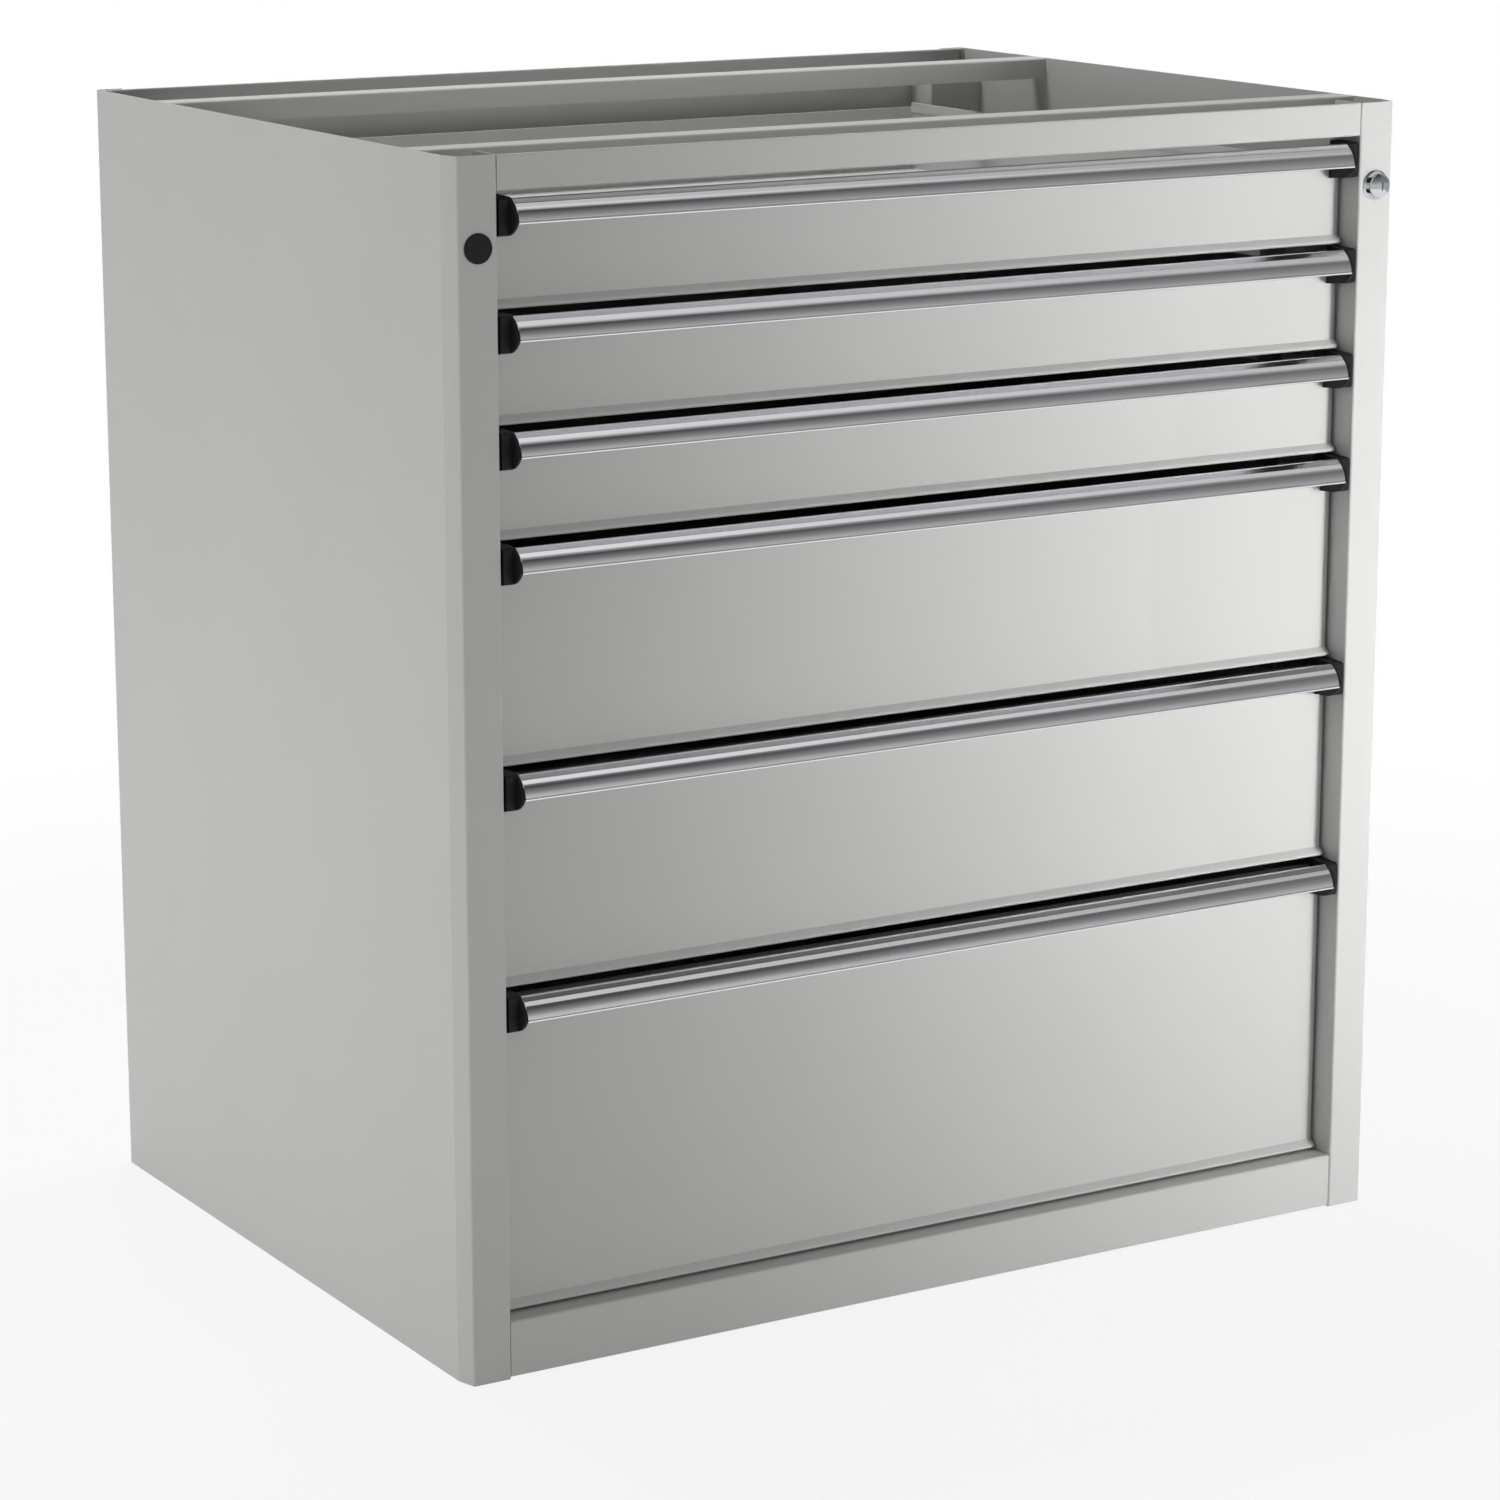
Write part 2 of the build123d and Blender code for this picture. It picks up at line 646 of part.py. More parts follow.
def lock_nut():
    """Hexagon nut behind the stile."""
    outline = RegularPolygon(NUT_ACROSS_FLATS / 2, 6, major_radius=False)
    ring = outline - Circle(LOCK_HOLE_RADIUS - HOLE_PLAY + RUNNING_PLAY)
    return along_y(Pos(STILE_MIDDLE, LOCK_Z) * ring, SHEET, SHEET + NUT_THICKNESS)


def tooth(root):
    """Tapered gear tooth along +X, thinned for backlash, from a root line to its tip."""
    tip = root + TOOTH_ROOT + TOOTH_TIP
    return make_face(
        Polyline(
            (0, -TOOTH_ROOT_HALF),
            (root, -TOOTH_ROOT_HALF),
            (tip, -TOOTH_TIP_HALF),
            (tip, TOOTH_TIP_HALF),
            (root, TOOTH_ROOT_HALF),
            (0, TOOTH_ROOT_HALF),
            close=True,
        )
    )


def pinion_outline():
    """Gear with one tooth that points at the bar."""
    root = PITCH_RADIUS - TOOTH_ROOT
    gear = Circle(root)
    for index in range(PINION_TEETH):
        gear += Rot(0, 0, 180 + 360 * index / PINION_TEETH) * tooth(root)
    return gear


def lock_core():
    """Domed front with a key slot, shaft and pinion."""
    dome_rear = -NECK_PROUD - DOME_GAP
    dome_rim = dome_rear - DOME_RIM
    rise = DOME_PROUD + dome_rim
    sphere = (DOME_RADIUS**2 + rise**2) / (2 * rise)
    half_angle = math.asin(DOME_RADIUS / sphere) / 2
    middle = (sphere - DOME_PROUD - sphere * math.cos(half_angle), sphere * math.sin(half_angle))
    outline = ThreePointArc((-DOME_PROUD, 0), middle, (dome_rim, DOME_RADIUS)) + Polyline(
        (dome_rim, DOME_RADIUS),
        (dome_rear, DOME_RADIUS),
        (dome_rear, CORE_RADIUS),
        (BAR_FRONT - PINION_FACE_MARGIN, CORE_RADIUS),
        (BAR_FRONT - PINION_FACE_MARGIN, 0),
        (-DOME_PROUD, 0),
    )
    core = turned(make_face(outline.edges()), STILE_MIDDLE, LOCK_Z)
    pinion = Pos(STILE_MIDDLE, LOCK_Z) * pinion_outline()
    core += along_y(pinion, BAR_FRONT - PINION_FACE_MARGIN, BAR_REAR + PINION_FACE_MARGIN)
    slot_x = (STILE_MIDDLE - KEY_SLOT_WIDTH / 2, STILE_MIDDLE + KEY_SLOT_WIDTH / 2)
    slot_z = (LOCK_Z - KEY_SLOT_HEIGHT / 2, LOCK_Z + KEY_SLOT_HEIGHT / 2)
    return core - block(slot_x, (-DOME_PROUD - KEY_SLOT_DEPTH, KEY_SLOT_DEPTH - DOME_PROUD), slot_z)


def lock_bar():
    """Flat bar with a rack at the pinion."""
    low, high = BASE_TOP + BAR_FLOOR_GAP, LOCK_Z + BAR_ABOVE_LOCK
    width = BAR_OUTER - BAR_INNER
    outline = Pos(BAR_INNER + width / 2, (low + high) / 2) * Rectangle(width, high - low)
    for index in range(-RACK_BELOW_LOCK, RACK_ABOVE_LOCK):
        outline += Pos(BAR_INNER, LOCK_Z + (index + 0.5) * math.pi * GEAR_MODULE) * tooth(width)
    return along_y(outline, BAR_FRONT, BAR_REAR)


def lock_bar_finger(number):
    """Finger on the bar's edge, below a drawer's catch."""
    top = tray_rim(number) - CATCH_BELOW_RIM - CATCH_HEIGHT - FINGER_PLAY
    return block((OPENING_HALF - FINGER_REACH, BAR_INNER), (BAR_FRONT, BAR_REAR), (top - FINGER_HEIGHT, top))


def lock_bar_guide(number):
    """Block on the right side panel that the bar runs through."""
    z = drawer_floor(number) + GUIDE_LIFT
    inner = BAR_INNER - GUIDE_WALL
    depths = (BAR_FRONT - GUIDE_WALL, BAR_REAR + GUIDE_WALL)
    guide = block((inner, INNER_HALF), depths, (z - GUIDE_HEIGHT / 2, z + GUIDE_HEIGHT / 2))
    slot_x = (BAR_INNER - GUIDE_PLAY, BAR_OUTER + GUIDE_PLAY)
    slot_depths = (BAR_FRONT - GUIDE_PLAY, BAR_REAR + GUIDE_PLAY)
    return guide - block(slot_x, slot_depths, (z - GUIDE_HEIGHT, z + GUIDE_HEIGHT))


def blanking_plug():
    """Round cap with a hollow sleeve in the left stile's spare hole."""
    sleeve = LOCK_HOLE_RADIUS - HOLE_PLAY
    section = rounded_face(
        [
            (-PLUG_PROUD, 0, 0),
            (-PLUG_PROUD, PLUG_RADIUS, PLUG_ROUND),
            (0, PLUG_RADIUS, 0),
            (0, sleeve, 0),
            (PLUG_SLEEVE, sleeve, 0),
            (PLUG_SLEEVE, sleeve - PLUG_WALL, 0),
            (0, sleeve - PLUG_WALL, 0),
            (0, 0, 0),
        ]
    )
    return turned(section, -STILE_MIDDLE, LOCK_Z)


def main():
    """Builds every piece and writes it to its own file."""
    os.makedirs("parts", exist_ok=True)
    left_panel, right_side = both_sides(right_panel())
    save("left_side_panel", left_panel - bored(-STILE_MIDDLE, LOCK_Z, LOCK_HOLE_RADIUS, -SHEET, 2 * SHEET))
    save("right_side_panel", right_side - bored(STILE_MIDDLE, LOCK_Z, LOCK_HOLE_RADIUS, -SHEET, 2 * SHEET))
    save("back_panel", back_panel())
    save("back_panel_screws", *back_screws())
    save("base_panel", base_panel())
    save("plinth", plinth())
    save("front_top_rail", front_top_rail())
    save("rear_top_rail", rear_top_rail())
    save("slide_uprights", *slide_uprights())
    left_rails, right_rails = zip(*[both_sides(outer_rail(number)) for number in DRAWERS])
    save("left_outer_rails", *left_rails)
    save("right_outer_rails", *right_rails)

    save("lock_barrel", lock_barrel())
    save("lock_nut", lock_nut())
    save("lock_core", lock_core())
    save("lock_bar", lock_bar())
    save("lock_bar_fingers", *[lock_bar_finger(number) for number in DRAWERS])
    guided = (DRAWERS[0], DRAWERS[len(DRAWERS) // 2], DRAWERS[-1])
    save("lock_bar_guides", *[lock_bar_guide(number) for number in guided])
    save("blanking_plug", blanking_plug())

    for number in DRAWERS:
        save(f"drawer_{number}_front", drawer_front(number))
        save(f"drawer_{number}_tray", drawer_tray(number))
        save(f"drawer_{number}_handle", handle(number))
        save(f"drawer_{number}_end_caps", *both_sides(end_cap(number)))
        save(f"drawer_{number}_inner_rails", *both_sides(inner_rail(number)))
        save(f"drawer_{number}_mid_rails", *both_sides(mid_rail(number)))
        save(f"drawer_{number}_catch", catch(number))


main()
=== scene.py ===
"""Finishes, fasteners, lights and camera for the six-drawer workshop cabinet.

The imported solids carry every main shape. This script gives each of them the finish of the real piece,
adds the fasteners that repeat, and stands the cabinet in a plain white studio, seen from its left front
corner. Lengths are metres unless a name says otherwise.
"""
import json
import logging
import math
from dataclasses import dataclass
from enum import Enum
from typing import Any

import bpy
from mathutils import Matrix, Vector

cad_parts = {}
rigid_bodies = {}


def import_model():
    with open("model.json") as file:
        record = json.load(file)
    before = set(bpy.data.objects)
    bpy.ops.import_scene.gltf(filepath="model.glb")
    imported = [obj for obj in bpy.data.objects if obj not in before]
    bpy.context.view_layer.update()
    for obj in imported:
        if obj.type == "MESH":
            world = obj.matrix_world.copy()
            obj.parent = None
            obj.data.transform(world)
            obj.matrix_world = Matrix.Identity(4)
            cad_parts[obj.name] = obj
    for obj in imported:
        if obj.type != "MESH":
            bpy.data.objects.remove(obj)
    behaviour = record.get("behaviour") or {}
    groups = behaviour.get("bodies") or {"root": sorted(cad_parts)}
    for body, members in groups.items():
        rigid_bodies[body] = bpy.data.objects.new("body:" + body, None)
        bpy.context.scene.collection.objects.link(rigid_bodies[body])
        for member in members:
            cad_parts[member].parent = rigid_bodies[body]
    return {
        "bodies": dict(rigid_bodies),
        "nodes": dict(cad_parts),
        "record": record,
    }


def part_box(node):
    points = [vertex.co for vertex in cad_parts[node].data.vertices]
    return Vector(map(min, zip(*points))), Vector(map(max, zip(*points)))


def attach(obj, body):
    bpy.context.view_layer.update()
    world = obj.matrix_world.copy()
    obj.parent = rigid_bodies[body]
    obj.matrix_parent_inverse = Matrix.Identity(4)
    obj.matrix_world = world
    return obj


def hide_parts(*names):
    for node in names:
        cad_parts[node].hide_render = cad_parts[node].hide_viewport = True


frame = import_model()

log = logging.getLogger("cabinet")
MM = 0.001
WHITE = (1.0, 1.0, 1.0, 1.0)
Triple = tuple[float, float, float]


class Slot(Enum):
    """The record's material slots."""

    PAINT = "painted_steel"
    GRIP = "grip_aluminium"
    MOULDED = "black_plastic"
    CHROME = "chrome"
    ZINC = "zinc_steel"


def srgb(hex_colour: str) -> tuple[float, float, float, float]:
    """Turns an sRGB hex colour into linear values.

    Args:
        hex_colour: six hex digits after a hash sign.

    Returns:
        Linear red, green and blue, with an alpha of one.
    """
    shares = [int(hex_colour[i:i + 2], 16) / 255 for i in (1, 3, 5)]
    linear = [s / 12.92 if s <= 0.04045 else ((s + 0.055) / 1.055) ** 2.4 for s in shares]
    return (linear[0], linear[1], linear[2], 1.0)


def add_node(
    tree: bpy.types.NodeTree, kind: str, inputs: dict[str | int, Any] | None = None, **settings: Any
) -> bpy.types.Node:
    """Adds one node to a tree, with its settings and its inputs.

    Args:
        tree: the shader or geometry tree.
        kind: the node's type name.
        inputs: for each input, by name or number, a value, a socket to link, or a list of sockets.
        settings: the node's own properties.

    Returns:
        The new node.
    """
    node = tree.nodes.new(kind)
    for name, value in settings.items():
        setattr(node, name, value)
    for key, value in (inputs or {}).items():
        socket = node.inputs[key]
        for item in value if isinstance(value, list) else [value]:
            if isinstance(item, bpy.types.NodeSocket):
                tree.links.new(item, socket)
            else:
                socket.default_value = item
    return node


def per_mm(size_mm: float) -> float:
    """Gives the texture scale at which one feature measures this many millimetres."""
    return 1 / (size_mm * MM)


def noise(
    tree: bpy.types.NodeTree, place: bpy.types.NodeSocket, scale: float, detail: float
) -> bpy.types.NodeSocket:
    """Adds a noise texture.

    Args:
        tree: the material's tree.
        place: the coordinates.
        scale: how many features there are to a metre.
        detail: how many finer layers lie over them.

    Returns:
        The noise's level, from zero to one.
    """
    texture = add_node(tree, "ShaderNodeTexNoise", {"Vector": place, "Scale": scale, "Detail": detail})
    return texture.outputs["Fac"]


def blend(
    tree: bpy.types.NodeTree, share: bpy.types.NodeSocket, first: str, second: str
) -> bpy.types.NodeSocket:
    """Adds a mix of two colours.

    Args:
        tree: the material's tree.
        share: the second colour's share.
        first: the sRGB hex colour at a share of zero.
        second: the sRGB hex colour at a share of one.

    Returns:
        The mixed colour.
    """
    mix = add_node(tree, "ShaderNodeMix", {0: share, 6: srgb(first), 7: srgb(second)}, data_type="RGBA")
    return mix.outputs[2]


def spread(
    tree: bpy.types.NodeTree, share: bpy.types.NodeSocket, first: float, last: float
) -> bpy.types.NodeSocket:
    """Adds a range of values.

    Args:
        tree: the material's tree.
        share: where in the range, from zero to one.
        first: the value at zero.
        last: the value at one.

    Returns:
        The value.
    """
    values = add_node(tree, "ShaderNodeMapRange", {"Value": share, "To Min": first, "To Max": last})
    return values.outputs["Result"]


def bump(
    tree: bpy.types.NodeTree, height: bpy.types.NodeSocket, strength: float, height_mm: float
) -> bpy.types.NodeSocket:
    """Adds a relief too fine for the mesh.

    Args:
        tree: the material's tree.
        height: the relief's level, from zero to one.
        strength: how much of the relief shows.
        height_mm: its full height.

    Returns:
        The bent normal.
    """
    relief = add_node(tree, "ShaderNodeBump",
                      {"Height": height, "Strength": strength, "Distance": height_mm * MM})
    return relief.outputs["Normal"]


class Finish:
    """A surface's make-up, as a Principled material that reads Object coordinates."""

    name: str

    def constants(self) -> dict[str, Any]:
        """Gives the surface's values that are the same all over."""
        raise NotImplementedError

    def texture(self, tree: bpy.types.NodeTree, place: bpy.types.NodeSocket) -> dict[str, Any]:
        """Adds the nodes for what varies over the surface.

        Args:
            tree: the material's tree.
            place: the Object coordinates.

        Returns:
            The sockets that feed the surface's inputs.
        """
        raise NotImplementedError

    def material(self) -> bpy.types.Material:
        """Builds the material.

        Returns:
            The finished material.
        """
        material = bpy.data.materials.new(self.name)
        material.use_nodes = True
        tree = material.node_tree
        tree.nodes.clear()
        place = add_node(tree, "ShaderNodeTexCoord").outputs["Object"]
        inputs = self.constants() | self.texture(tree, place)
        surface = add_node(tree, "ShaderNodeBsdfPrincipled", inputs)
        add_node(tree, "ShaderNodeOutputMaterial", {"Surface": surface.outputs["BSDF"]})
        return material


@dataclass(frozen=True)
class PowderCoat(Finish):
    """Light-grey polyester powder coat, sprayed on folded steel sheet and baked."""

    name: str = "grey_powder_coat"
    colour: str = "#C6C6C4"
    thin_colour: str = "#C2C2C0"
    ior: float = 1.5
    peel_mm: float = 2.6
    peel_detail: float = 1.0
    peel_height_mm: float = 0.012
    peel_strength: float = 0.5
    cloud_mm: float = 160.0
    cloud_detail: float = 2.0
    roughness: tuple[float, float] = (0.38, 0.46)

    def constants(self) -> dict[str, Any]:
        """Gives the values of a cured polyester skin."""
        return {"Metallic": 0.0, "IOR": self.ior}

    def texture(self, tree: bpy.types.NodeTree, place: bpy.types.NodeSocket) -> dict[str, Any]:
        """Adds a shallow orange peel and a faint cloud where the spray lay thinner.

        Args:
            tree: the material's tree.
            place: the Object coordinates.

        Returns:
            The colour, roughness and normal.
        """
        # The skin levels to a satin film: lights spread into wide soft sheens, and only a glancing
        # light shows the peel.
        peel = noise(tree, place, per_mm(self.peel_mm), self.peel_detail)
        cloud = noise(tree, place, per_mm(self.cloud_mm), self.cloud_detail)
        return {
            "Base Color": blend(tree, cloud, self.thin_colour, self.colour),
            "Roughness": spread(tree, peel, *self.roughness),
            "Normal": bump(tree, peel, self.peel_strength, self.peel_height_mm),
        }


@dataclass(frozen=True)
class BrightAnodised(Finish):
    """Extruded aluminium, polished along its length and clear anodised."""

    name: str = "bright_anodised_aluminium"
    colour: str = "#EDEEF0"
    dull_colour: str = "#E6E7EA"
    line_mm: float = 0.9
    line_length_mm: float = 900.0
    line_detail: float = 3.0
    roughness: tuple[float, float] = (0.12, 0.16)

    def constants(self) -> dict[str, Any]:
        """Gives the values of bare metal."""
        return {"Metallic": 1.0}

    def texture(self, tree: bpy.types.NodeTree, place: bpy.types.NodeSocket) -> dict[str, Any]:
        """Adds the die's faint lines along the extrusion, which runs along X.

        Args:
            tree: the material's tree.
            place: the Object coordinates.

        Returns:
            The colour and roughness.
        """
        # The profile mirrors the room in long soft bands, and the die lines dull them a little. Real
        # lines are about 0.2 mm apart, and are drawn coarser here so that they show.
        fine = per_mm(self.line_mm)
        along = add_node(tree, "ShaderNodeMapping",
                         {"Vector": place, "Scale": (per_mm(self.line_length_mm), fine, fine)})
        lines = noise(tree, along.outputs["Vector"], 1.0, self.line_detail)
        smooth, dull = self.roughness
        return {
            "Base Color": blend(tree, lines, self.dull_colour, self.colour),
            "Roughness": spread(tree, lines, dull, smooth),
        }


@dataclass(frozen=True)
class BlackMoulding(Finish):
    """Injection-moulded black ABS from a spark-eroded mould."""

    name: str = "black_moulded_abs"
    colour: str = "#18181A"
    worn_colour: str = "#202022"
    ior: float = 1.53
    specular_level: float = 0.25
    grain_mm: float = 1.1
    grain_detail: float = 4.0
    grain_height_mm: float = 0.02
    grain_strength: float = 0.6
    roughness: tuple[float, float] = (0.52, 0.66)

    def constants(self) -> dict[str, Any]:
        """Gives the values of a plain thermoplastic."""
        return {"Metallic": 0.0, "IOR": self.ior, "Specular IOR Level": self.specular_level}

    def texture(self, tree: bpy.types.NodeTree, place: bpy.types.NodeSocket) -> dict[str, Any]:
        """Adds the mould's fine grain.

        Args:
            tree: the material's tree.
            place: the Object coordinates.

        Returns:
            The colour, roughness and normal.
        """
        # The eroded grain breaks up every highlight, so the mouldings look matt. Real grain is about
        # 0.3 mm, and is drawn coarser here so that it shows.
        grain = noise(tree, place, per_mm(self.grain_mm), self.grain_detail)
        return {
            "Base Color": blend(tree, grain, self.colour, self.worn_colour),
            "Roughness": spread(tree, grain, *self.roughness),
            "Normal": bump(tree, grain, self.grain_strength, self.grain_height_mm),
        }


@dataclass(frozen=True)
class ChromePlate(Finish):
    """Die-cast zinc, polished and chrome plated."""

    name: str = "polished_chrome_plate"
    colour: str = "#DADDE0"
    hazy_colour: str = "#CDD1D5"
    haze_mm: float = 7.0
    haze_detail: float = 3.0
    roughness: tuple[float, float] = (0.04, 0.1)

    def constants(self) -> dict[str, Any]:
        """Gives the values of bare metal."""
        return {"Metallic": 1.0}

    def texture(self, tree: bpy.types.NodeTree, place: bpy.types.NodeSocket) -> dict[str, Any]:
        """Adds the faint haze that handling leaves on a mirror finish.

        Args:
            tree: the material's tree.
            place: the Object coordinates.

        Returns:
            The colour and roughness.
        """
        # A mirror: the pale walls and the bright panel in the dark ceiling show in it, with hard edges.
        haze = noise(tree, place, per_mm(self.haze_mm), self.haze_detail)
        return {
            "Base Color": blend(tree, haze, self.colour, self.hazy_colour),
            "Roughness": spread(tree, haze, *self.roughness),
        }


@dataclass(frozen=True)
class ZincPlate(Finish):
    """Rolled steel strip with bright zinc plating."""

    name: str = "zinc_plated_steel"
    colour: str = "#B9BDC1"
    dark_colour: str = "#A3A8AD"
    crystal_mm: float = 4.0
    brush_mm: float = 0.8
    brush_length_mm: float = 60.0
    brush_detail: float = 2.0
    roughness: tuple[float, float] = (0.26, 0.42)

    def constants(self) -> dict[str, Any]:
        """Gives the values of bare metal."""
        return {"Metallic": 1.0}

    def texture(self, tree: bpy.types.NodeTree, place: bpy.types.NodeSocket) -> dict[str, Any]:
        """Adds the zinc's crystals and the rolling marks, which run along Y.

        Args:
            tree: the material's tree.
            place: the Object coordinates.

        Returns:
            The colour and roughness.
        """
        # Neighbouring crystals catch the light a little differently, and the rolled strip under them
        # shows as long dull streaks.
        crystal = add_node(tree, "ShaderNodeTexVoronoi",
                           {"Vector": place, "Scale": per_mm(self.crystal_mm)})
        grey = add_node(tree, "ShaderNodeRGBToBW", {"Color": crystal.outputs["Color"]})
        fine = per_mm(self.brush_mm)
        along = add_node(tree, "ShaderNodeMapping",
                         {"Vector": place, "Scale": (fine, per_mm(self.brush_length_mm), fine)})
        brush = noise(tree, along.outputs["Vector"], 1.0, self.brush_detail)
        return {
            "Base Color": blend(tree, grey.outputs["Val"], self.dark_colour, self.colour),
            "Roughness": spread(tree, brush, *self.roughness),
        }


FINISHES: dict[Slot, Finish] = {
    Slot.PAINT: PowderCoat(),
    Slot.GRIP: BrightAnodised(),
    Slot.MOULDED: BlackMoulding(),
    Slot.CHROME: ChromePlate(),
    Slot.ZINC: ZincPlate(),
}
Palette = dict[Slot, bpy.types.Material]


def dress_body(body: str, palette: Palette) -> None:
    """Gives every solid of a body the finish that the record names for it.

    Args:
        body: a body's name.
        palette: the material of each slot.
    """
    slots = {part["node"]: Slot(part["material_slot"]) for part in frame["record"]["subparts"]}
    for node in frame["record"]["behaviour"]["bodies"][body]:
        frame["nodes"][node].material_slots[0].material = palette[slots[node]]
        log.info("%s: %s", node, palette[slots[node]].name)


def start_tree(name: str, sizes: dict[str, Any]) -> tuple[bpy.types.NodeTree, bpy.types.Node]:
    """Starts a geometry tree with one named input for each size.

    Args:
        name: the tree's name.
        sizes: each size's name and value, whole for a count.

    Returns:
        The tree and its group input node.
    """
    tree = bpy.data.node_groups.new(name, "GeometryNodeTree")
    for size, value in sizes.items():
        kind = "NodeSocketInt" if isinstance(value, int) else "NodeSocketFloat"
        if isinstance(value, tuple):
            kind = "NodeSocketVector"
        tree.interface.new_socket(size, in_out="INPUT", socket_type=kind)
    tree.interface.new_socket("Geometry", in_out="OUTPUT", socket_type="NodeSocketGeometry")
    return tree, add_node(tree, "NodeGroupInput")


def end_tree(tree: bpy.types.NodeTree, shape: bpy.types.NodeSocket, material: bpy.types.Material) -> None:
    """Ends a geometry tree in real, dressed meshes.

    Args:
        tree: the tree.
        shape: its last geometry, which may hold instances.
        material: what the geometry is made of.
    """
    real = add_node(tree, "GeometryNodeRealizeInstances", {"Geometry": shape})
    dressed = add_node(tree, "GeometryNodeSetMaterial",
                       {"Geometry": real.outputs["Geometry"], "Material": material})
    add_node(tree, "NodeGroupOutput", {"Geometry": dressed.outputs["Geometry"]})


def grow(name: str, tree: bpy.types.NodeTree, sizes: dict[str, Any]) -> bpy.types.Object:
    """Runs a geometry tree and keeps its result as a plain mesh at the origin.

    Args:
        name: the piece's name.
        tree: the geometry tree.
        sizes: a value for each of the tree's named inputs.

    Returns:
        The piece.
    """
    seed = bpy.data.objects.new(name + "_seed", bpy.data.meshes.new(name + "_seed"))
    bpy.context.scene.collection.objects.link(seed)
    modifier = seed.modifiers.new("grow", "NODES")
    modifier.node_group = tree
    for socket in tree.interface.items_tree:
        if socket.in_out == "INPUT":
            modifier[socket.identifier] = sizes[socket.name]
    evaluated = seed.evaluated_get(bpy.context.evaluated_depsgraph_get())
    mesh = bpy.data.meshes.new_from_object(evaluated)
    mesh.name = name
    seed.modifiers.remove(modifier)
    bpy.data.objects.remove(seed)
    piece = bpy.data.objects.new(name, mesh)
    bpy.context.scene.collection.objects.link(piece)
    return piece


@dataclass
class Housing:
    """The folded shell and its ten cross-recessed screws in the back."""

    palette: Palette
    screw_rows: int = 5
    head_radius: float = 3.6 * MM
    head_depth: float = 1.5 * MM
    shank_radius: float = 2.0 * MM
    recess_reach: float = 4.0 * MM
    recess_width: float = 0.9 * MM
    recess_depth: float = 1.0 * MM
    facets: int = 24

    def screw_tree(self, sizes: dict[str, Any]) -> bpy.types.NodeTree:
        """Builds the tree that sets countersunk screws on a grid of two columns.

        Args:
            sizes: the tree's inputs.

        Returns:
            The tree. A screw's axis is local Z, and the grid is then turned to face +Y.
        """
        tree, given = start_tree("countersunk_screws", sizes)
        size = given.outputs
        sunk = add_node(tree, "ShaderNodeMath", {0: size["Head Depth"], 1: -1.0}, operation="MULTIPLY")
        head_drop = add_node(tree, "ShaderNodeCombineXYZ", {"Z": sunk.outputs[0]})
        cone = add_node(tree, "GeometryNodeMeshCone",
                        {"Vertices": self.facets, "Radius Top": size["Head Radius"],
                         "Radius Bottom": size["Shank Radius"], "Depth": size["Head Depth"]})
        head = add_node(tree, "GeometryNodeTransform",
                        {"Geometry": cone.outputs["Mesh"], "Translation": head_drop.outputs[0]})
        rod = add_node(tree, "GeometryNodeMeshCylinder",
                       {"Vertices": self.facets, "Radius": size["Shank Radius"], "Depth": size["Length"]})
        middle = add_node(tree, "ShaderNodeMath", {0: size["Length"], 1: -0.5}, operation="MULTIPLY")
        rod_drop = add_node(tree, "ShaderNodeCombineXYZ", {"Z": middle.outputs[0]})
        shank = add_node(tree, "GeometryNodeTransform",
                         {"Geometry": rod.outputs["Mesh"], "Translation": rod_drop.outputs[0]})
        whole = add_node(tree, "GeometryNodeMeshBoolean",
                         {"Mesh 2": [head.outputs[0], shank.outputs[0]]},
                         operation="UNION", solver="EXACT")
        twice = add_node(tree, "ShaderNodeMath", {0: size["Recess Depth"], 1: 2.0}, operation="MULTIPLY")
        arms = []
        for x, y in (("Recess Reach", "Recess Width"), ("Recess Width", "Recess Reach")):
            span = add_node(tree, "ShaderNodeCombineXYZ",
                            {"X": size[x], "Y": size[y], "Z": twice.outputs[0]})
            arms.append(add_node(tree, "GeometryNodeMeshCube", {"Size": span.outputs[0]}).outputs["Mesh"])
        screw = add_node(tree, "GeometryNodeMeshBoolean",
                         {"Mesh 1": whole.outputs["Mesh"], "Mesh 2": arms},
                         operation="DIFFERENCE", solver="EXACT")
        grid = add_node(tree, "GeometryNodeMeshGrid",
                        {"Size X": size["Width"], "Size Y": size["Height"], "Vertices X": 2,
                         "Vertices Y": size["Rows"]})
        screws = add_node(tree, "GeometryNodeInstanceOnPoints",
                          {"Points": grid.outputs["Mesh"], "Instance": screw.outputs["Mesh"]})
        placed = add_node(tree, "GeometryNodeTransform",
                          {"Geometry": screws.outputs["Instances"], "Translation": size["Middle"],
                           "Rotation": (math.radians(-90), 0.0, 0.0)})
        end_tree(tree, placed.outputs["Geometry"], self.palette[Slot.ZINC])
        return tree

    def add_screws(self) -> None:
        """Puts a cross-recessed screw where each plain one stands."""
        low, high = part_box("back_panel_screws")
        sizes = {
            "Rows": self.screw_rows, "Width": high.x - low.x - 2 * self.head_radius,
            "Height": high.z - low.z - 2 * self.head_radius, "Length": high.y - low.y,
            "Head Radius": self.head_radius, "Head Depth": self.head_depth,
            "Shank Radius": self.shank_radius, "Recess Reach": self.recess_reach,
            "Recess Width": self.recess_width, "Recess Depth": self.recess_depth,
            "Middle": ((low.x + high.x) / 2, high.y, (low.z + high.z) / 2),
        }
        screws = grow("back_panel_cross_screws", self.screw_tree(sizes), sizes)
        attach(screws, "housing")
        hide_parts("back_panel_screws")
        log.info("%s: %d screws", screws.name, 2 * self.screw_rows)

    def build(self) -> None:
        """Dresses the shell and adds its screws."""
        dress_body("housing", self.palette)
        self.add_screws()


